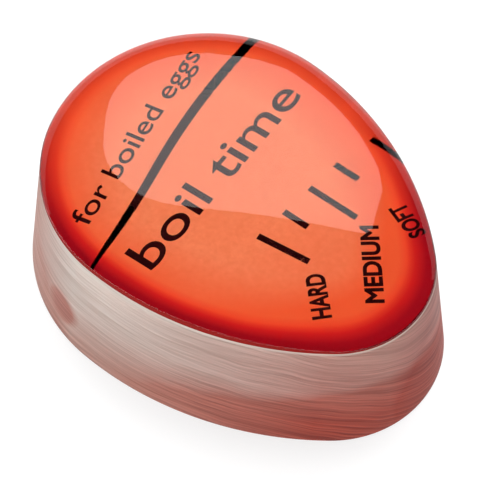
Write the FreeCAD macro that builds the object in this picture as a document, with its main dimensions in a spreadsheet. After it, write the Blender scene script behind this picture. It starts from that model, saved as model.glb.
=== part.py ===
"""Colour-changing egg timer: a printed, colour-changing disc cast between two pours of clear resin.

The first pour is the thick body, the second is the domed lens that wraps the disc. Afterwards the
wall is sanded all round to a slight draft, which is why the dome's rounded edge is cut short.

Frame: millimetres, +Z up. The origin is at the middle of the flat underside. The egg's long axis
lies along Y with the blunt end at +Y, so the scale reads upright when seen from above.
"""
import FreeCAD, Part
import os
from math import asin, atan2, cos, hypot, pi, sin, sqrt

import Sketcher
from FreeCAD import Rotation, Vector

# Driving dimensions: alias, value in mm or degrees, meaning.
DIMENSIONS = [
    ("blunt_radius", 20.0, "radius of the blunt end at the rim"),
    ("side_radius", 43.0, "radius of the long sides at the rim"),
    ("centre_gap", 20.6, "distance between the centres of the blunt end and the tip"),
    ("wall_height", 18.3, "height at which the egg has the radii above, about the rim's height"),
    ("draft", 7.2, "lean of the sanded wall, degrees"),
    ("base_break", 0.3, "chamfer round the underside"),
    ("body_height", 17.2, "height of the first pour"),
    ("disc_thickness", 0.6, "thickness of the colour-changing disc"),
    ("disc_inset", 0.3, "how far the disc stays inside the rim's outline"),
    ("ink_depth", 0.1, "depth of the print in the disc"),
    ("mould_margin", 2.0, "what sanding took off the moulded lens, all round at the rim"),
    ("edge_round", 6.0, "rounding of the moulded lens"),
    ("crown_radius", 260.0, "radius of the lens's shallow crown"),
    ("crown_top", 20.6, "height of the crown, which is the timer's own height"),
    ("tick_left", -3.6, "X of the first tick's upper end"),
    ("tick_top", -5.5, "Y of the ticks' upper ends"),
    ("tick_pitch", 4.6, "distance from tick to tick"),
    ("tick_long", 6.9, "length of the ticks that stand for hard, medium and soft"),
    ("tick_short", 3.5, "length of the ticks between them"),
    ("tick_width", 0.85, "width of a tick"),
    ("first_lean", 12.0, "lean of the first tick, degrees"),
    ("other_lean", 5.0, "lean of the other ticks, degrees"),
    ("soft_right", 1.1, "how much farther right than even spacing the last tick stands"),
    ("soft_drop", 0.7, "how much lower than the others the last tick starts"),
    ("sweep_left", -24.5, "X of the dividing line's point, beyond the disc, whose edge cuts it"),
    ("sweep_low", 5.4, "Y of the dividing line's point"),
    ("sweep_turn", -4.7, "X at which the dividing line's bend reverses"),
    ("sweep_middle", 10.0, "Y of the middle of the dividing line where its bend reverses"),
    ("sweep_width", 1.2, "width of the dividing line where its bend reverses"),
    ("sweep_right", 21.0, "X of the dividing line's wide end, beyond the disc"),
    ("upper_rise", 170.0, "radius of the line's upper edge on its pointed side"),
    ("upper_level", 95.0, "radius of the line's upper edge on its wide side"),
    ("lower_rise", 95.0, "radius of the line's lower edge on its pointed side"),
    ("lower_level", 105.0, "radius of the line's lower edge on its wide side"),
]
SHEET = "Sizes"
TICKS = ["long", "short", "long", "short", "long"]

doc = FreeCAD.newDocument("egg_timer")
sheet = doc.addObject("Spreadsheet::Sheet", SHEET)
size = {}
for row, (alias, value, meaning) in enumerate(DIMENSIONS, start=1):
    sheet.set(f"A{row}", alias)
    sheet.set(f"B{row}", str(value))
    sheet.set(f"C{row}", meaning)
    sheet.setAlias(f"B{row}", alias)
    size[alias] = value
doc.recompute()

# Heights of the stack, as expressions in which braces mark the aliases.
BODY_TOP = "{body_height}"
DISC_TOP = "({body_height} + {disc_thickness})"
INK_FLOOR = "({body_height} + {disc_thickness} - {ink_depth})"
BLANK_FLOOR = "({wall_height} - {edge_round})"
ABOVE_ALL = "({crown_top} + 1)"


def cell(expression):
    """The expression with each alias in braces read from the sheet."""
    return expression.replace("{", SHEET + ".").replace("}", "")


def bind(thing, **expressions):
    """Binds properties of a document object to the sheet."""
    for path, expression in expressions.items():
        thing.setExpression(path.replace("__", "."), cell(expression))


def made(kind, name, **links):
    """A new object of the document with its links set."""
    thing = doc.addObject(kind, name)
    for link, target in links.items():
        setattr(thing, link, target)
    return thing


def level_sketch(body, name, height):
    """A sketch of the body, parallel to its XY plane, at a height."""
    sketch = body.newObject("Sketcher::SketchObject", name)
    floor = next(f for f in body.Origin.OriginFeatures if f.Role == "XY_Plane")
    sketch.AttachmentSupport = [(floor, "")]
    sketch.MapMode = "FlatFace"
    bind(sketch, AttachmentOffset__Base__z=height)
    return sketch


def drive(sketch, name, kind, where, value, expression):
    """A named dimension of a sketch that follows the sheet."""
    index = sketch.addConstraint(Sketcher.Constraint(kind, *where, value))
    sketch.renameConstraint(index, name)
    sketch.setExpression(f"Constraints.{name}", cell(expression))


def egg_sketch(body, name, height, offset):
    """Four tangent arcs, the rim's egg offset outward by an expression."""
    blunt, side, gap = size["blunt_radius"], size["side_radius"], size["centre_gap"]
    reach = side - blunt
    tip = side - hypot(reach, gap)
    middle = (gap + tip - blunt) / 2
    turn = atan2(gap, reach)
    arcs = [
        (Vector(0, middle, 0), blunt, 0, pi),
        (Vector(reach, middle, 0), side, pi, pi + turn),
        (Vector(0, middle - gap, 0), tip, pi + turn, 2 * pi - turn),
        (Vector(-reach, middle, 0), side, 2 * pi - turn, 2 * pi),
    ]
    sketch = level_sketch(body, name, height)
    for centre, radius, start, end in arcs:
        circle = Part.Circle(centre, Vector(0, 0, 1), radius)
        sketch.addGeometry(Part.ArcOfCircle(circle, start, end), False)
    for first in range(len(arcs)):
        following = (first + 1) % len(arcs)
        sketch.addConstraint(Sketcher.Constraint("Tangent", first, 2, following, 1))
    sketch.addConstraint(Sketcher.Constraint("PointOnObject", 0, 3, -2))
    sketch.addConstraint(Sketcher.Constraint("PointOnObject", 2, 3, -2))
    sketch.addConstraint(Sketcher.Constraint("Horizontal", 0, 3, 1, 3))
    sketch.addConstraint(Sketcher.Constraint("Equal", 1, 3))
    reach_squared = "({side_radius} - {blunt_radius})^2"
    centre_height = (
        "({centre_gap} + {side_radius} - {blunt_radius}"
        f" - sqrt({reach_squared} + {{centre_gap}}^2)) / 2"
    )
    drive(sketch, "blunt", "Radius", (0,), blunt, "{blunt_radius} + " + offset)
    drive(sketch, "side", "Radius", (1,), side, "{side_radius} + " + offset)
    drive(sketch, "gap", "DistanceY", (2, 3, 0, 3), gap, "{centre_gap}")
    drive(sketch, "centre", "DistanceY", (-1, 1, 0, 3), middle, centre_height)
    return sketch


def padded(body, sketch, length):
    """A pad of the sketch, upward by an expression."""
    pad = body.newObject("PartDesign::Pad", sketch.Name + "_pad")
    pad.Profile = sketch
    bind(pad, Length=length)
    doc.recompute()
    return pad


def egg_prism(name, low, high, offset):
    """A body with upright walls that follow the egg."""
    body = doc.addObject("PartDesign::Body", name)
    padded(body, egg_sketch(body, name + "_outline", low, offset), f"{high} - {low}")
    return body


def sanded_egg(name, low, high):
    """A body that is a slab of the drafted egg between two heights."""
    offset = "({wall_height} - " + low + ") * tan({draft} * 1deg)"
    body = egg_prism(name, low, high, offset)
    pad = body.Tip
    walls = [f"Face{i}" for i, face in enumerate(pad.Shape.Faces, 1) if face.BoundBox.ZLength > 0.1]
    bottom = pad.Shape.BoundBox.ZMin
    floor = [f"Face{i}" for i, face in enumerate(pad.Shape.Faces, 1) if face.BoundBox.ZMax < bottom + 0.1]
    draft = body.newObject("PartDesign::Draft", name + "_draft")
    draft.Base = (pad, walls)
    draft.NeutralPlane = (pad, floor)
    bind(draft, Angle="{draft} * 1deg")
    body.Tip = draft
    doc.recompute()
    return body


def make_body_casting():
    """The first pour: drafted wall, flat top and a broken edge round the underside."""
    body = sanded_egg("body_casting", "0", BODY_TOP)
    drafted = body.Tip
    low = [f"Edge{i}" for i, edge in enumerate(drafted.Shape.Edges, 1) if edge.BoundBox.ZMax < 0.1]
    chamfer = body.newObject("PartDesign::Chamfer", "underside_break")
    chamfer.Base = (drafted, low)
    bind(chamfer, Size="{base_break}")
    body.Tip = chamfer
    doc.recompute()
    return body


def make_tick(index, kind):
    """One scale tick: an upright bar that hangs from the scale's line and leans a little."""
    body = doc.addObject("PartDesign::Body", f"tick_{index}")
    sketch = level_sketch(body, f"tick_{index}_outline", INK_FLOOR)
    half = size["tick_width"] / 2
    length = size["tick_" + kind]
    corners = [Vector(-half, 0), Vector(half, 0), Vector(half, -length), Vector(-half, -length)]
    for start, end in zip(corners, corners[1:] + corners[:1]):
        sketch.addGeometry(Part.LineSegment(start, end), False)
    for side in range(len(corners)):
        following = (side + 1) % len(corners)
        sketch.addConstraint(Sketcher.Constraint("Coincident", side, 2, following, 1))
        direction = "Vertical" if side % 2 else "Horizontal"
        sketch.addConstraint(Sketcher.Constraint(direction, side))
    sketch.addConstraint(Sketcher.Constraint("Symmetric", 0, 1, 0, 2, -1, 1))
    drive(sketch, "width", "Distance", (0,), 2 * half, "{tick_width}")
    drive(sketch, "length", "Distance", (1,), length, "{tick_" + kind + "}")
    lean = "{other_lean}" if index else "{first_lean}"
    shifted = index == len(TICKS) - 1
    sketch.AttachmentOffset.Rotation = Rotation(Vector(0, 0, 1), size["other_lean"])
    bind(
        sketch,
        AttachmentOffset__Base__x=f"{{tick_left}} + {index} * {{tick_pitch}}" + " + {soft_right}" * shifted,
        AttachmentOffset__Base__y="{tick_top}" + " - {soft_drop}" * shifted,
        AttachmentOffset__Rotation__Angle=lean + " * 1deg",
    )
    padded(body, sketch, "{ink_depth}")
    return body


def bowed(start, end, radius, side):
    """A shallow arc between two points: side 1 bulges toward +Y, side -1 toward -Y."""
    chord = end - start
    rise = radius - sqrt(radius**2 - chord.Length**2 / 4)
    across = Vector(-chord.y, chord.x, 0).normalize()
    return Part.Arc(start, (start + end) / 2 + across * rise * side, end)


def sweep_edge(sketch, point, turn, edge):
    """One long edge of the dividing line: an arc up to the turn, then one that levels out."""
    rise = size[edge + "_rise"]
    level = size[edge + "_level"]
    chord = turn - point
    lean = atan2(chord.y, chord.x) + asin(chord.Length / (2 * rise))
    centre = turn + Vector(sin(lean), -cos(lean)) * level
    right = size["sweep_right"]
    end = Vector(right, centre.y + sqrt(level**2 - (right - centre.x) ** 2))
    sketch.addGeometry(bowed(point, turn, rise, -1), False)
    sketch.addGeometry(bowed(turn, end, level, 1), False)
    return end


def make_sweep():
    """The dividing line: a flat S that widens from its point and is cut square at its other end."""
    body = doc.addObject("PartDesign::Body", "sweep")
    sketch = level_sketch(body, "sweep_outline", INK_FLOOR)
    point = Vector(size["sweep_left"], size["sweep_low"])
    middle = Vector(size["sweep_turn"], size["sweep_middle"])
    half = Vector(0, size["sweep_width"] / 2)
    upper = sweep_edge(sketch, point, middle + half, "upper")
    lower = sweep_edge(sketch, point, middle - half, "lower")
    sketch.addGeometry(Part.LineSegment(upper, lower), False)
    # Arcs are stored counter-clockwise: a rising one ends at the turn, and so does a levelling one.
    sketch.addConstraint(Sketcher.Constraint("Coincident", 0, 1, 2, 1))
    sketch.addConstraint(Sketcher.Constraint("Coincident", 1, 1, 4, 1))
    sketch.addConstraint(Sketcher.Constraint("Coincident", 3, 1, 4, 2))
    sketch.addConstraint(Sketcher.Constraint("Vertical", 4))
    for edge, first, sign in (("upper", 0, "+"), ("lower", 2, "-")):
        second = first + 1
        turn = middle + half if sign == "+" else middle - half
        sketch.addConstraint(Sketcher.Constraint("Tangent", first, 2, second, 2))
        for part, arc in (("_rise", first), ("_level", second)):
            drive(sketch, edge + part, "Radius", (arc,), size[edge + part], "{" + edge + part + "}")
        drive(sketch, edge + "_turn", "DistanceX", (first, 2, -1, 1), -turn.x, "-{sweep_turn}")
        height = "{sweep_middle} " + sign + " {sweep_width} / 2"
        drive(sketch, edge + "_middle", "DistanceY", (-1, 1, first, 2), turn.y, height)
    drive(sketch, "left", "DistanceX", (0, 1, -1, 1), -point.x, "-{sweep_left}")
    drive(sketch, "low", "DistanceY", (-1, 1, 0, 1), point.y, "{sweep_low}")
    drive(sketch, "right", "DistanceX", (-1, 1, 1, 1), upper.x, "{sweep_right}")
    padded(body, sketch, "{ink_depth}")
    return body


def make_disc_and_ink():
    """The punched disc and the print let into its top, all cut to the disc's outline."""
    punched = egg_prism("punched_disc", BODY_TOP, DISC_TOP, "-{disc_inset}")
    ticks = [make_tick(index, kind) for index, kind in enumerate(TICKS)]
    bars = made("Part::MultiFuse", "all_ticks", Shapes=ticks)
    sweep = make_sweep()
    ink = made("Part::MultiFuse", "all_ink", Shapes=[*ticks, sweep])
    return punched, [
        made("Part::Cut", "colour_disc", Base=punched, Tool=ink),
        made("Part::Common", "scale_ticks", Base=punched, Tool=bars),
        made("Part::Common", "divider_line", Base=punched, Tool=sweep),
    ]


def make_lens_dome(punched):
    """The second pour: a moulded dome, sanded to the drafted wall, that wraps the disc."""
    blank = egg_prism("lens_blank", BLANK_FLOOR, ABOVE_ALL, "{mould_margin}")
    crown = doc.addObject("Part::Sphere", "crown")
    bind(crown, Radius="{crown_radius}", Placement__Base__z="{crown_top} - {crown_radius}")
    crowned = made("Part::Common", "crowned_blank", Base=blank, Tool=crown)
    doc.recompute()
    rounded = made("Part::Fillet", "rounded_blank", Base=crowned)
    radius = size["edge_round"]
    floor = crowned.Shape.BoundBox.ZMin
    rounded.Edges = [
        (index, radius, radius)
        for index, edge in enumerate(crowned.Shape.Edges, 1)
        if edge.BoundBox.ZMin > floor + radius
    ]
    sanding = sanded_egg("lens_sanding", BODY_TOP, ABOVE_ALL)
    sanded = made("Part::Common", "sanded_lens", Base=rounded, Tool=sanding)
    return made("Part::Cut", "lens_dome", Base=sanded, Tool=punched)


def check(pieces):
    """Stops with a message if any object of the document or any sub-part failed."""
    failed = [thing.Name for thing in doc.Objects if {"Invalid", "Error"} & set(thing.State)]
    if failed:
        raise SystemExit(f"failed objects: {failed}")
    for piece in pieces:
        shape = piece.Shape
        if shape.isNull() or not shape.isValid() or not shape.Solids:
            raise SystemExit(f"{piece.Label} has no valid solid")
        print(piece.Label, len(shape.Solids), "solids", round(shape.Volume, 2), "mm3", shape.BoundBox)


disc_blank, disc_and_ink = make_disc_and_ink()
subparts = [make_body_casting(), *disc_and_ink, make_lens_dome(disc_blank)]
doc.recompute()
check(subparts)
os.makedirs("parts", exist_ok=True)
for subpart in subparts:
    subpart.Shape.exportStep(f"parts/{subpart.Label}.step")
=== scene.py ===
"""The looks of a colour-changing egg timer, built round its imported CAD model.

Metres, +Z up, origin at the middle of the underside, blunt end of the egg at +Y. The clear resin is
drawn as two closed glass shells, the body and the lens dome. Both reach a little way into the red
disc, so that the disc and its print are cast in resin with no air or shared faces between them.
"""
from math import atan2, cos, hypot, pi, radians, sin, sqrt, tan

import bpy
from mathutils import Matrix, Vector


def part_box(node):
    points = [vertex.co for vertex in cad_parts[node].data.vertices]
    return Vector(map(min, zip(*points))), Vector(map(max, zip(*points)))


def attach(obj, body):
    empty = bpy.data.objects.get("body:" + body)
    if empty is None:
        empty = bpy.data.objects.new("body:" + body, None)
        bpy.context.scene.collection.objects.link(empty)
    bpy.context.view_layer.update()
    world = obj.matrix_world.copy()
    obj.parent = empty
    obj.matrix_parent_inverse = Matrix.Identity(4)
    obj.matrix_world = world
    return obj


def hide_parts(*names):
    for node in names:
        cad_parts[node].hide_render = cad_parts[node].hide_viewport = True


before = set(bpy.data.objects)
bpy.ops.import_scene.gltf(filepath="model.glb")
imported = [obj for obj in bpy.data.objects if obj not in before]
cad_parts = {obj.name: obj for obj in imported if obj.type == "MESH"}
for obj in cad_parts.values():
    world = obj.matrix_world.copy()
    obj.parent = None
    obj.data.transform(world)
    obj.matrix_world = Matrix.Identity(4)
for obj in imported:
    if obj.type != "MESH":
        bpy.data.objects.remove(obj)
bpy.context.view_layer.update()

MM = 0.001

# The egg, as the CAD part draws it.
BLUNT_RADIUS = 20.0 * MM
SIDE_RADIUS = 43.0 * MM
CENTRE_GAP = 20.6 * MM
DRAFT = tan(radians(7.2))
RIM_HEIGHT = 18.3 * MM
MOULD_MARGIN = 2.0 * MM
EDGE_ROUND = 6.0 * MM
CROWN_RADIUS = 260.0 * MM
BASE_BREAK = 0.3 * MM
DISC_INSET = 0.3 * MM

# Heights of the stack, from the frame.
BODY_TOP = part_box("body_casting")[1].z
DISC_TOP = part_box("colour_disc")[1].z
INK_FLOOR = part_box("divider_line")[0].z
CROWN_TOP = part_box("lens_dome")[1].z

REACH = SIDE_RADIUS - BLUNT_RADIUS
TIP_RADIUS = SIDE_RADIUS - hypot(REACH, CENTRE_GAP)
BLUNT_Y = (CENTRE_GAP + TIP_RADIUS - BLUNT_RADIUS) / 2
TIP_Y = BLUNT_Y - CENTRE_GAP
TURN = atan2(CENTRE_GAP, REACH)

# How far the two shells of resin reach into each other, and how far they reach into the disc.
OVERLAP = 0.02 * MM
SINK = 0.1 * MM

# Only the flat underside lies lower than this.
JUST_ABOVE_FLOOR = 0.001 * MM

# How finely the shells are divided.
OUTLINE_POINTS = 288
BREAK_STEPS = 4
WALL_LEVELS = 14
ROUNDING_STEPS = 16
CROWN_STEPS = 22
HALVINGS = 40


# ---------------------------------------------------------------- outline

def egg_outline(count):
    """Evenly spaced points of the rim's outline, each with its outward normal."""
    arcs = [
        (Vector((0, BLUNT_Y)), BLUNT_RADIUS, 0, pi),
        (Vector((REACH, BLUNT_Y)), SIDE_RADIUS, pi, pi + TURN),
        (Vector((0, TIP_Y)), TIP_RADIUS, pi + TURN, 2 * pi - TURN),
        (Vector((-REACH, BLUNT_Y)), SIDE_RADIUS, 2 * pi - TURN, 2 * pi),
    ]
    lengths = [radius * (end - start) for _, radius, start, end in arcs]
    step = sum(lengths) / count
    points = []
    for index in range(count):
        left = index * step
        for (centre, radius, start, _), length in zip(arcs, lengths):
            if left <= length:
                break
            left -= length
        angle = start + left / radius
        normal = Vector((cos(angle), sin(angle)))
        points.append((centre + radius * normal, normal))
    return points


OUTLINE = egg_outline(OUTLINE_POINTS)


def wall_offset(height):
    """How far outside the rim's outline the sanded wall stands at a height."""
    return (RIM_HEIGHT - height) * DRAFT


def ring(offset, height):
    """One ring of points that follows the egg, offset outward."""
    return [Vector((*(point + offset * normal), height)) for point, normal in OUTLINE]


# ---------------------------------------------------------------- mesh helpers

def shell_of_rings(name, rings, bands):
    """A closed piece from stacked rings of equal length; bands gives each step's material slot."""
    count = len(rings[0])
    vertices = [tuple(vertex) for one in rings for vertex in one]
    faces, slots = [], []
    for level, slot in enumerate(bands):
        low, high = level * count, (level + 1) * count
        for index in range(count):
            following = (index + 1) % count
            faces.append((low + index, low + following, high + following, high + index))
            slots.append(slot)
    for level, slot, flip in ((0, bands[0], True), (len(rings) - 1, bands[-1], False)):
        centre = len(vertices)
        vertices.append(tuple(sum(rings[level], Vector((0, 0, 0))) / count))
        for index in range(count):
            a, b = level * count + index, level * count + (index + 1) % count
            faces.append((b, a, centre) if flip else (a, b, centre))
            slots.append(slot)
    mesh = bpy.data.meshes.new(name)
    mesh.from_pydata(vertices, [], faces)
    mesh.polygons.foreach_set("material_index", slots)
    mesh.update()
    return placed(name, mesh)


def placed(name, data):
    """A new object in the scene that holds a mesh, a lamp or a camera."""
    piece = bpy.data.objects.new(name, data)
    bpy.context.collection.objects.link(piece)
    return piece


def smooth(piece):
    """Smooth shading, kept sharp where faces meet at a clear angle."""
    piece.data.shade_smooth()
    piece.data.set_sharp_from_angle(angle=radians(40))


def turned(across, rise, out):
    """The rotation whose X, Y and Z are three given directions."""
    return Matrix((across, rise, out)).transposed().to_4x4()


# ---------------------------------------------------------------- node helpers

class Nodes:
    """A material's node tree with short ways to add and link nodes."""

    def __init__(self, name):
        self.material = bpy.data.materials.new(name)
        self.material.use_nodes = True
        self.tree = self.material.node_tree
        self.shader = self.tree.nodes["Principled BSDF"]

    def add(self, kind, settings=(), **inputs):
        """A node with its settings, and inputs that are values or other nodes' sockets."""
        node = self.tree.nodes.new(kind)
        for key, value in dict(settings).items():
            setattr(node, key, value)
        for key, value in inputs.items():
            self.feed(node.inputs[key.replace("_", " ")], value)
        return node

    def feed(self, socket, value):
        """Links a socket, or sets the value on the input itself."""
        if isinstance(value, bpy.types.NodeSocket):
            self.tree.links.new(value, socket)
        else:
            socket.default_value = value

    def pair(self, kind, operation, first, second):
        """A node that works out something from two inputs."""
        node = self.add(kind, {"operation": operation})
        self.feed(node.inputs[0], first)
        self.feed(node.inputs[1], second)
        return node

    def math(self, operation, first, second):
        """The result of an operation on two values."""
        return self.pair("ShaderNodeMath", operation, first, second).outputs[0]

    def total(self, *terms):
        """The sum of several values."""
        result = terms[0]
        for term in terms[1:]:
            result = self.math("ADD", result, term)
        return result

    def times(self, first, second):
        """The product of two values."""
        return self.math("MULTIPLY", first, second)

    def spread(self, value, low, high, to_low, to_high):
        """The value's range low to high, mapped and clamped to another range."""
        node = self.add("ShaderNodeMapRange", Value=value)
        for key, number in (("From Min", low), ("From Max", high), ("To Min", to_low), ("To Max", to_high)):
            node.inputs[key].default_value = number
        return node.outputs[0]

    def blend(self, factor, first, second):
        """A colour between two colours."""
        node = self.add("ShaderNodeMix", {"data_type": "RGBA"})
        self.feed(node.inputs[0], factor)
        self.feed(node.inputs[6], first)
        self.feed(node.inputs[7], second)
        return node.outputs[2]

    def place(self, scale=(1.0, 1.0, 1.0)):
        """Object coordinates in metres, scaled."""
        where = self.add("ShaderNodeTexCoord").outputs["Object"]
        return self.add("ShaderNodeMapping", Vector=where, Scale=scale).outputs[0]

    def along(self, direction):
        """How far a point lies along a direction, in metres."""
        return self.pair("ShaderNodeVectorMath", "DOT_PRODUCT", self.place(), direction).outputs["Value"]

    def away_from(self, centre):
        """How far a point lies from another, in metres."""
        return self.pair("ShaderNodeVectorMath", "DISTANCE", self.place(), centre).outputs["Value"]

    def noise(self, where, scale, detail, roughness):
        """A noise value from 0 to 1."""
        node = self.add("ShaderNodeTexNoise", Vector=where, Scale=scale, Detail=detail, Roughness=roughness)
        return node.outputs["Fac"]

    def scratches(self, x, y, height, length_scale, height_scale):
        """A noise stretched along the wall, fine in height."""
        joined = self.add("ShaderNodeCombineXYZ")
        scaled = zip((x, y, height), (length_scale, length_scale, height_scale))
        for socket, (value, scale) in zip(joined.inputs, scaled):
            self.feed(socket, self.times(value, scale))
        return self.noise(joined.outputs[0], 1.0, 3.0, 0.6)

    def bump(self, height, strength, distance):
        """A normal bumped by a height value."""
        return self.add("ShaderNodeBump", Height=height, Strength=strength, Distance=distance).outputs[0]

    def surface(self, **inputs):
        """Sets the shader's inputs."""
        for key, value in inputs.items():
            self.feed(self.shader.inputs[key.replace("_", " ")], value)
        return self.material


# ---------------------------------------------------------------- materials

RESIN_IOR = 1.49
# The height from which the skirt carries the painted deep red shade of the disc's edge, and the place of a
# red stain.
COAT_LINE = DISC_TOP - 0.05 * MM
STAIN = (-0.0211, 0.0108, 0.0055)
# The horizontal direction in which the disc's edge carries its deepest painted shade, the side away
# from the back light, and the one in which the wall turns away past the front of its tip.
SHADED_SIDE = (-0.74, -0.67, 0.0)
PAST_FRONT = (0.67, -0.74, 0.0)
X_AXIS, Y_AXIS, Z_AXIS = (1, 0, 0), (0, 1, 0), (0, 0, 1)
# The middle part of a noise's values, which is spread to full contrast.
FAINT, STRONG = 0.40, 0.60


def sanding(nodes, cloud):
    """The wall's scratches, which run round the egg, some aslant, swirl at its tip and bend past it."""
    x, y, height = (nodes.along(axis) for axis in (X_AXIS, Y_AXIS, Z_AXIS))
    tip = nodes.spread(y, 0.006, -0.022, 0.0, 1.0)
    swirl = nodes.times(cloud, nodes.spread(tip, 0.0, 1.0, 0.0008, 0.0035))
    past_front = nodes.math("MAXIMUM", nodes.along(PAST_FRONT), 0.0)
    bend = nodes.times(nodes.times(past_front, past_front), 14.0)
    bent = nodes.total(height, swirl, nodes.times(bend, tip))
    aslant = nodes.total(bent, nodes.times(y, 0.08))
    return nodes.total(
        nodes.times(nodes.scratches(x, y, bent, 55.0, 3400.0), 0.55),
        nodes.times(nodes.scratches(x, y, aslant, 70.0, 2300.0), 0.35),
        nodes.times(nodes.scratches(x, y, bent, 25.0, 900.0), 0.10),
    )


def wall_reds(nodes, cloud):
    """How far the wall turns pink, with painted red light at its foot and its tip, toward its blunt end and
    at a stain, and how far that turns a deep red, painted shade at the tip and the stain's own colour.
    """
    x, y, height = (nodes.along(axis) for axis in (X_AXIS, Y_AXIS, Z_AXIS))
    uneven_height = nodes.total(height, nodes.times(cloud, 0.006))
    low = nodes.spread(uneven_height, 0.0135, 0.004, 0.0, 1.0)
    # Painted red light: the wall turns pink low down and toward the tip, as if lit red by the disc.
    low_red_light = nodes.times(low, nodes.spread(y, 0.016, -0.004, 0.75, 0.85))
    from_stain = nodes.total(nodes.away_from(STAIN), nodes.times(cloud, 0.004))
    stain = nodes.spread(from_stain, 0.0055, 0.0040, 0.0, 0.9)
    tip_red_light = nodes.spread(y, 0.004, -0.022, 0.0, 0.85)
    blunt_pink = nodes.spread(y, 0.009, 0.019, 0.0, 1.0)
    pink = nodes.math("MINIMUM", nodes.total(low_red_light, stain, tip_red_light, blunt_pink), 1.0)
    # Painted shade: at the tip the wall turns a deep red toward its foot and its right side.
    foot_red_shade = nodes.spread(height, 0.016, 0.004, 0.35, 0.95)
    right_red_shade = nodes.spread(x, -0.004, 0.008, 0.0, 0.9)
    tip = nodes.spread(y, 0.006, -0.022, 0.0, 1.0)
    tip_red_shade = nodes.times(tip, nodes.total(foot_red_shade, right_red_shade))
    return pink, nodes.total(tip_red_shade, nodes.times(stain, 0.45))


def sanded_resin():
    """Clear resin with a wall frosted by sanding, paler on the arris below the red of the disc as a painted
    highlight, and pink and deep red low down and at the ends with painted red light and shade, and a red
    stain.
    """
    nodes = Nodes("sanded_resin")
    cloud = nodes.noise(nodes.place(), 70.0, 2.0, 0.5)
    scratches = sanding(nodes, cloud)
    pink_share, red_shade_and_stain_share = wall_reds(nodes, cloud)
    shine = nodes.spread(scratches, FAINT, STRONG, 0.0, 1.0)
    pale = nodes.blend(shine, (0.60, 0.57, 0.50, 1), (0.84, 0.82, 0.76, 1))
    pink = nodes.blend(shine, (0.40, 0.165, 0.120, 1), (0.62, 0.34, 0.27, 1))
    red_shade_and_stain = nodes.blend(shine, (0.22, 0.014, 0.006, 1), (0.46, 0.050, 0.022, 1))
    wall = nodes.blend(pink_share, pale, nodes.blend(red_shade_and_stain_share, pink, red_shade_and_stain))
    height = nodes.along(Z_AXIS)
    # Painted highlight: the wall turns paler just below the red skirt, as a lit arris.
    arris_highlight_share = nodes.spread(height, COAT_LINE - 0.5 * MM, COAT_LINE - 0.1 * MM, 0.0, 0.7)
    # The skirt hardly lets light through, as the disc's edge stands behind it, nor does the wall where it
    # carries painted red shade or the stain.
    below_skirt = nodes.spread(height, BODY_TOP - 0.2 * MM, BODY_TOP, 1.0, 0.2)
    clearness = nodes.times(below_skirt, nodes.spread(red_shade_and_stain_share, 0.0, 1.0, 1.0, 0.4))
    return nodes.surface(
        Base_Color=nodes.blend(arris_highlight_share, wall, (0.80, 0.69, 0.61, 1)),
        Roughness=nodes.spread(scratches, FAINT, STRONG, 0.60, 0.48),
        IOR=RESIN_IOR,
        Specular_IOR_Level=0.2,
        Transmission_Weight=nodes.times(nodes.spread(scratches, FAINT, STRONG, 0.60, 0.40), clearness),
        Normal=nodes.bump(scratches, 0.5, 0.0002),
    )


def red_skirt():
    """The skirt beside the disc, thin enough for the disc to show through its sanding; its deep dark red is
    painted shade, that of the disc's shaded edge.
    """
    nodes = Nodes("red_skirt")
    haze = nodes.noise(nodes.place((60.0, 60.0, 3000.0)), 1.0, 3.0, 0.5)
    return nodes.surface(
        Base_Color=nodes.blend(haze, (0.24, 0.008, 0.006, 1), (0.40, 0.020, 0.016, 1)),
        Roughness=0.6,
        Specular_IOR_Level=0.05,
        Normal=nodes.bump(haze, 0.3, 0.0001),
    )


def clear_resin():
    """Glossy clear resin with a few faint ripples from its mould."""
    nodes = Nodes("clear_resin")
    ripple = nodes.noise(nodes.place(), 90.0, 1.0, 0.4)
    return nodes.surface(
        Base_Color=(1.0, 0.995, 0.985, 1.0),
        Roughness=0.012,
        IOR=RESIN_IOR,
        Transmission_Weight=1.0,
        Normal=nodes.bump(ripple, 0.04, 0.0003),
    )


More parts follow.
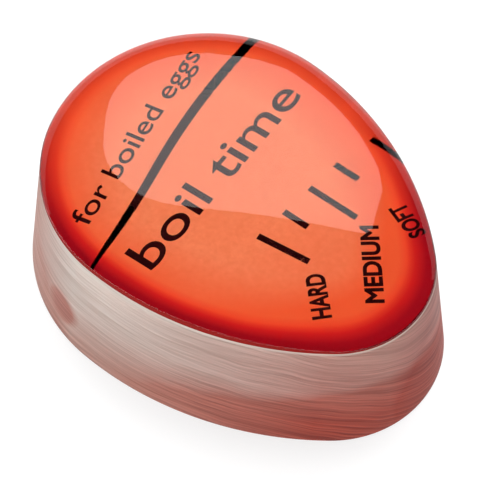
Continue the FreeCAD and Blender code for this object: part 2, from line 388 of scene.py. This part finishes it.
def disc_red():
    """The colour-changing coat, a warm red with a fine mottle, deepened towards its edge by painted shade,
    most on the side away from the back light.
    """
    nodes = Nodes("colour_change_red")
    edge_map = nodes.add("ShaderNodeUVMap", {"uv_map": "edge"})
    inset = nodes.add("ShaderNodeSeparateXYZ", Vector=edge_map.outputs[0]).outputs[1]
    mottle = nodes.noise(nodes.place(), 1600.0, 3.0, 0.6)
    speckle = nodes.spread(mottle, 0.3, 0.7, 0.0, 1.0)
    centre = nodes.blend(speckle, (0.84, 0.225, 0.095, 1), (0.92, 0.270, 0.122, 1))
    cloud = nodes.noise(nodes.place(), 120.0, 2.0, 0.5)
    clouded = nodes.blend(nodes.spread(cloud, 0.3, 0.7, 0.0, 0.25), centre, (0.90, 0.225, 0.095, 1))
    # Toward the tip the painted edge shade is wider, as if its points lay less far in.
    frontward = nodes.along((0, -1, 0))
    depth = nodes.times(nodes.spread(frontward, 0.012, 0.024, 1.0, 0.7), inset)
    # The red turns a deeper orange toward the tip and near the edge; near the edge this is painted shade.
    toward_tip = nodes.spread(frontward, 0.006, 0.020, 0.0, 0.5)
    near_edge = nodes.spread(depth, 0.002, 0.009, 1.0, 0.0)
    tip_deepening_and_edge_shade = nodes.math("MINIMUM", nodes.total(toward_tip, near_edge), 1.0)
    tip_deepened_and_edge_shaded = nodes.blend(tip_deepening_and_edge_shade, clouded, (0.86, 0.112, 0.034, 1))
    # Painted shade: the edge turns a deep red, strongest on the side away from the back light.
    shaded_side_weight = nodes.spread(nodes.along(SHADED_SIDE), -0.012, 0.006, 0.35, 1.0)
    edge_shade_share = nodes.times(shaded_side_weight, nodes.spread(depth, 0.0018, 0.0034, 1.0, 0.0))
    deep_edge_shade_share = nodes.times(shaded_side_weight, nodes.spread(depth, 0.0008, 0.0026, 1.0, 0.0))
    red = nodes.blend(edge_shade_share, tip_deepened_and_edge_shaded, (0.78, 0.022, 0.014, 1))
    return nodes.surface(
        Base_Color=nodes.blend(deep_edge_shade_share, red, (0.35, 0.005, 0.012, 1)),
        Roughness=0.55,
        Specular_IOR_Level=0.0,
        Normal=nodes.bump(mottle, 0.1, 0.00005),
    )


def black_ink():
    """Screen-printed black with the slight unevenness of a thin coat."""
    nodes = Nodes("black_ink")
    coat = nodes.noise(nodes.place(), 2500.0, 2.0, 0.5)
    return nodes.surface(
        Base_Color=nodes.blend(coat, (0.010, 0.001, 0.001, 1), (0.034, 0.004, 0.005, 1)),
        Roughness=nodes.spread(coat, 0.3, 0.7, 0.45, 0.6),
        Specular_IOR_Level=0.0,
    )


def floor_white():
    """A plain pale floor that glows faintly, like a light table."""
    nodes = Nodes("floor_white")
    grain = nodes.noise(nodes.place(), 40.0, 2.0, 0.5)
    return nodes.surface(
        Base_Color=nodes.blend(grain, (0.20, 0.20, 0.20, 1), (0.22, 0.22, 0.22, 1)),
        Roughness=0.9,
        Specular_IOR_Level=0.0,
        Emission_Color=(1, 1, 1, 1),
        Emission_Strength=0.8,
    )


def glow(name, strength):
    """A surface that only gives off white light."""
    return Nodes(name).surface(
        Base_Color=(0, 0, 0, 1),
        Emission_Color=(1, 1, 1, 1),
        Emission_Strength=strength,
    )


SANDED = sanded_resin()
SKIRT = red_skirt()
CLEAR = clear_resin()
RED = disc_red()
INK = black_ink()


# ---------------------------------------------------------------- the resin

def crown_point(flat):
    """The point of the lens's shallow spherical crown over a point of the plan."""
    height = CROWN_TOP - CROWN_RADIUS + sqrt(CROWN_RADIUS**2 - flat.length_squared)
    return Vector((*flat, height))


class Rounding:
    """The moulded rounding on one spoke of the outline: a ball's arc from the crown outward."""

    def __init__(self, point, normal):
        self.point = point
        self.normal = normal
        middle = point + (MOULD_MARGIN - EDGE_ROUND) * normal
        rise = sqrt((CROWN_RADIUS - EDGE_ROUND) ** 2 - middle.length_squared)
        self.centre = Vector((*middle, CROWN_TOP - CROWN_RADIUS + rise))
        self.inner = Vector((*middle, rise)).normalized()
        self.outer = Vector((*normal, 0))
        self.rim = self.meet_wall()

    def at(self, turn):
        """A point of the arc: turn 0 lies on the crown, turn 1 would be the mould's upright edge."""
        return self.centre + EDGE_ROUND * self.inner.slerp(self.outer, turn)

    def offset(self, place):
        """How far outside the rim's outline a point stands."""
        return (place.xy - self.point).dot(self.normal)

    def meet_wall(self):
        """The turn at which the arc reaches the sanded wall, found by halving."""
        low, high = 0.0, 1.0
        for _ in range(HALVINGS):
            turn = (low + high) / 2
            place = self.at(turn)
            if self.offset(place) < wall_offset(place.z):
                low = turn
            else:
                high = turn
        return low

    def on_wall(self, height):
        """The spoke's point on the sanded wall at a height."""
        return Vector((*(self.point + wall_offset(height) * self.normal), height))


SPOKES = [Rounding(point, normal) for point, normal in OUTLINE]


def make_body():
    """The first pour: sanded wall, glossy underside, and a top that reaches into the disc."""
    top_height = BODY_TOP + OVERLAP
    foot = wall_offset(BASE_BREAK) - BASE_BREAK
    turns = [pi / 2 * step / BREAK_STEPS for step in range(BREAK_STEPS + 1)]
    underside = [ring(foot + BASE_BREAK * sin(turn), BASE_BREAK * (1 - cos(turn))) for turn in turns]
    rise = (top_height - BASE_BREAK) / WALL_LEVELS
    heights = [BASE_BREAK + rise * level for level in range(1, WALL_LEVELS + 1)]
    wall = [ring(wall_offset(height), height) for height in heights]
    into_disc = -DISC_INSET - SINK
    top = [ring(into_disc, top_height), ring(into_disc, BODY_TOP + 3 * SINK)]
    rings = [*underside, *wall, *top]
    sanded, clear = 0, 1
    bands = [sanded] * (len(rings) - 1)
    bands[-2:] = [clear, clear]
    body = shell_of_rings("resin_body", rings, bands)
    for polygon in body.data.polygons:
        if polygon.center.z < JUST_ABOVE_FLOOR:
            polygon.material_index = clear
    body.data.materials.append(SANDED)
    body.data.materials.append(CLEAR)
    smooth(body)
    return body


def make_lens():
    """The second pour: a narrow sanded skirt, then the glossy moulded dome over the disc."""
    edge = 0.1 * MM
    into_disc = -DISC_INSET - SINK
    roof = ring(into_disc, INK_FLOOR - SINK)
    inner = ring(into_disc, BODY_TOP - OVERLAP)
    skirt = ring(wall_offset(BODY_TOP), BODY_TOP - OVERLAP)
    red_line = ring(wall_offset(COAT_LINE), COAT_LINE)
    # The sharp meeting of wall and dome is broken by a corner between its two neighbours.
    below_rim, corner, above_rim = [], [], []
    for spoke in SPOKES:
        rim = spoke.at(spoke.rim)
        below = spoke.on_wall(rim.z - edge)
        above = spoke.at(spoke.rim - edge / EDGE_ROUND)
        below_rim.append(below)
        corner.append(rim * 0.6 + (below + above) * 0.2)
        above_rim.append(above)
    rounding = []
    for step in range(1, ROUNDING_STEPS + 1):
        left = 1 - step / ROUNDING_STEPS
        rounding.append([spoke.at((spoke.rim - edge / EDGE_ROUND) * left) for spoke in SPOKES])
    crown = []
    for step in range(1, CROWN_STEPS):
        shrink = 1 - step / CROWN_STEPS
        crown.append([crown_point(point.xy * shrink) for point in rounding[-1]])
    rings = [roof, inner, skirt, red_line, below_rim, corner, above_rim, *rounding, *crown]
    clear, sanded, red = 0, 1, 2
    bands = [clear] * (len(rings) - 1)
    bands[2:4] = [sanded, red]
    lens = shell_of_rings("lens_glass", rings, bands)
    top = lens.data.vertices[-1]
    top.co = crown_point(top.co.xy)
    for material in (CLEAR, SANDED, SKIRT):
        lens.data.materials.append(material)
    smooth(lens)
    return lens


def make_disc():
    """The colour-changing disc, with a UV map that holds each corner's distance from the edge."""
    insets = [inset * MM for inset in (0.0, 0.05, 0.3, 0.8, 1.5, 2.5, 4.0, 6.0, 9.0)]
    middle_inset = 20.0 * MM
    low = [ring(-DISC_INSET - inset, BODY_TOP) for inset in insets]
    high = [ring(-DISC_INSET - inset, DISC_TOP) for inset in insets]
    rings = [*reversed(low), *high]
    disc = shell_of_rings("dial_disc", rings, [0] * (len(rings) - 1))
    disc.data.materials.append(RED)
    depths = [inset for inset in (*reversed(insets), *insets) for _ in OUTLINE]
    depths += [middle_inset, middle_inset]
    layer = disc.data.uv_layers.new(name="edge")
    for loop in disc.data.loops:
        layer.data[loop.index].uv = (0.0, depths[loop.vertex_index])
    smooth(disc)
    return disc


# ---------------------------------------------------------------- the print

# The height of the built-in font's capitals at size 1, and how far the ink stands up.
CAP_HEIGHT = 0.729
INK_PROUD = 0.02 * MM

# Name, words, start and end in mm, height of a capital in mm, and stroke gain over that height.
LETTERING = [
    ("word_hard", "HARD", (-6.0, -19.1), (-2.2, -14.5), 2.25, 0.036),
    ("word_medium", "MEDIUM", (-0.4, -22.3), (7.1, -14.9), 2.2, 0.036),
    ("word_soft", "SOFT", (10.2, -19.6), (11.55, -14.9), 2.0, 0.036),
    ("heading", "boil time", (-15.4, 0.5), (15.2, 4.1), 4.3, 0.007),
    ("caption", "for boiled eggs", (-16.0, 10.4), (11.5, 17.6), 2.6, 0.007),
]


def lettering(name, words, start, end, height, weight):
    """Words printed on the disc, stretched to run from start to end."""
    curve = bpy.data.curves.new(name, "FONT")
    curve.body = words
    curve.resolution_u = 6
    curve.bevel_depth = weight
    curve.bevel_resolution = 1
    draft = placed(name + "_draft", curve)
    bpy.context.view_layer.update()
    mesh = bpy.data.meshes.new_from_object(draft.evaluated_get(bpy.context.evaluated_depsgraph_get()))
    bpy.data.objects.remove(draft)
    left = min(vertex.co.x for vertex in mesh.vertices)
    right = max(vertex.co.x for vertex in mesh.vertices)
    first, last = Vector(start) * MM, Vector(end) * MM
    run = last - first
    stretch = (run.length / (right - left), height * MM / CAP_HEIGHT, INK_PROUD / weight, 1.0)
    turn = Matrix.Rotation(atan2(run.y, run.x), 4, "Z")
    place = Matrix.Translation((*first, DISC_TOP))
    mesh.transform(place @ turn @ Matrix.Diagonal(stretch) @ Matrix.Translation((-left, 0, 0)))
    mesh.materials.clear()
    mesh.materials.append(INK)
    return placed(name, mesh)


def make_print():
    """The generic words of the dial, and ink on the CAD part's ticks and dividing line."""
    for node in ("scale_ticks", "divider_line"):
        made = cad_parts[node]
        made.data.materials.clear()
        made.data.materials.append(INK)
    return [lettering(*words) for words in LETTERING]


# ---------------------------------------------------------------- studio

def toward(azimuth, elevation):
    """Unit vector from the object: azimuth from +Y toward +X, elevation above the floor."""
    a, e = radians(azimuth), radians(elevation)
    return Vector((sin(a) * cos(e), cos(a) * cos(e), sin(e)))


def sheet(name, points, faces, material):
    """A thin surface of the studio."""
    mesh = bpy.data.meshes.new(name)
    mesh.from_pydata(points, [], faces)
    mesh.materials.append(material)
    return placed(name, mesh)


def panel(name, direction, width, height, radiance):
    """A soft rectangular lamp that faces the object; it lights, but shows in no mirror."""
    distance = 1.2
    lamp = bpy.data.lights.new(name, "AREA")
    lamp.shape = "RECTANGLE"
    lamp.size = width
    lamp.size_y = height
    lamp.energy = radiance * pi * width * height
    holder = placed(name, lamp)
    holder.visible_glossy = False
    holder.location = direction * distance
    holder.rotation_mode = "QUATERNION"
    holder.rotation_quaternion = (-direction).to_track_quat("-Z", "Y")


def softbox():
    """The light that the dome mirrors: a flat lamp, rounder on its left than on its right."""
    azimuth, elevation, tilt = 49.0, 51.5, 8.0
    left, right, far, near = -0.195, 0.185, -0.118, 0.146
    corner_steps = 8
    corners = [(right, near, 0.015), (left, near, 0.115), (left, far, 0.115), (right, far, 0.06)]
    points = []
    for quarter, (x, y, radius) in enumerate(corners):
        centre = Vector((x - radius if x > 0 else x + radius, y - radius if y > 0 else y + radius))
        for step in range(corner_steps + 1):
            angle = (quarter + step / corner_steps) * pi / 2
            points.append((centre.x + radius * cos(angle), centre.y + radius * sin(angle), 0.0))
    lamp = sheet("softbox", points, [tuple(range(len(points)))], glow("softbox_glow", 2.6))
    back = toward(azimuth, elevation)
    across = toward(azimuth + 90.0, 0.0)
    rise = across.cross(back)
    facing = turned(across, rise, across.cross(rise))
    lamp.matrix_world = Matrix.Translation(back) @ facing @ Matrix.Rotation(radians(tilt), 4, "Z")
    lamp.visible_camera = False


def backdrop():
    """A glowing white strip that stands on the floor behind the object and shows in its far rim."""
    distance, height = 1.6, 0.48
    low = [toward(azimuth, 0.0) * distance for azimuth in range(-30, 121, 10)]
    high = [foot + Vector((0, 0, height)) for foot in low]
    count = len(low)
    faces = [(i, i + 1, count + i + 1, count + i) for i in range(count - 1)]
    strip = sheet("backdrop", [*low, *high], faces, glow("backdrop_glow", 0.6))
    strip.visible_camera = False


def make_floor():
    """A pale floor just under the object."""
    half = 3.0
    corners = [(-half, -half, 0), (half, -half, 0), (half, half, 0), (-half, half, 0)]
    floor = sheet("floor", corners, [(0, 1, 2, 3)], floor_white())
    floor.location.z = -0.05 * MM


def make_studio():
    """The floor, a softbox that the dome mirrors, and soft light from behind and from the left."""
    make_floor()
    softbox()
    backdrop()
    panel("back_light", toward(55.0, 66.0), 1.1, 0.8, 11.7)
    panel("left_light", toward(-108.0, 16.0), 0.8, 0.3, 8.0)
    world = bpy.data.worlds.new("studio")
    world.use_nodes = True
    world.node_tree.nodes["Background"].inputs["Color"].default_value = (1, 1, 1, 1)
    world.node_tree.nodes["Background"].inputs["Strength"].default_value = 0.08
    bpy.context.scene.world = world
    world.cycles_visibility.glossy = False
    bpy.context.scene.view_settings.view_transform = "Standard"


def make_camera():
    """The photograph's view: from the front left, well above, with a long lens."""
    distance = 280 * MM
    data = bpy.data.cameras.new("camera")
    data.sensor_width = 36.0
    data.lens = 165.7
    data.clip_start, data.clip_end = 0.01, 20.0
    back = Vector((-0.39302, -0.35805, 0.84696)).normalized()
    right = Vector((0.67345, -0.73923, 0.0)).normalized()
    up = back.cross(right)
    aim = Vector((0, -1.642, 0)) * MM - 1.686 * MM * right + 5.069 * MM * up
    camera = placed("camera", data)
    camera.matrix_world = Matrix.Translation(aim + distance * back) @ turned(right, up, back)
    bpy.context.scene.camera = camera


make_camera()
body, lens, disc = make_body(), make_lens(), make_disc()
words = make_print()
for piece in (body, lens, disc, *words):
    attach(piece, "root")
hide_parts("body_casting")
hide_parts("lens_dome")
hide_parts("colour_disc")
make_studio()
